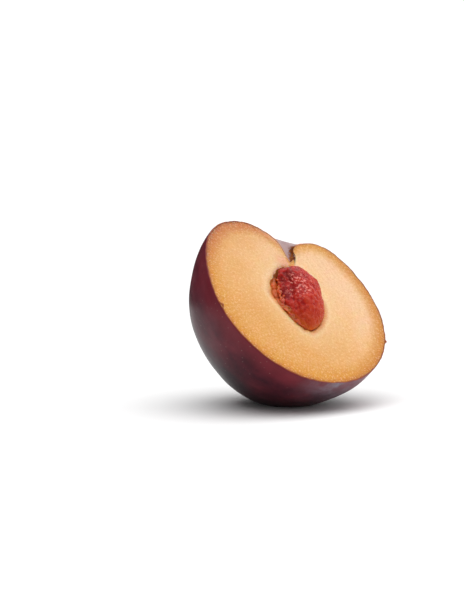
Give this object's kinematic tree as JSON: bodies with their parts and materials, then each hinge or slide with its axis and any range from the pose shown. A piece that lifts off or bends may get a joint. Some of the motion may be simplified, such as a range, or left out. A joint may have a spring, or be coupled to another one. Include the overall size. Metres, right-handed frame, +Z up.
{
  "type": "halved plum",
  "caption": "Half of a ripe black plum, cut along its seam, resting on its dark waxy skin with its golden cut face tilted up and the red stone loose in its socket.",
  "frame": {"origin": "the middle of the flat spot that the half rests on", "axes": "+Z up; the cut face looks towards -Y and up, about 49 degrees from level, with the stem end at its top, turned 20 degrees towards +X"},
  "size_m": [0.0612, 0.0521, 0.0551],
  "materials": {
    "skin": "smooth waxy fruit skin, dark purple-red with a faint grey bloom",
    "flesh": "moist cut fruit flesh, golden orange, slightly translucent",
    "stone": "rough woody stone, wet with red juice"
  },
  "bodies": {
    "root": {"plum_half": "skin", "stone": "stone"}
  },
  "joints": []
}
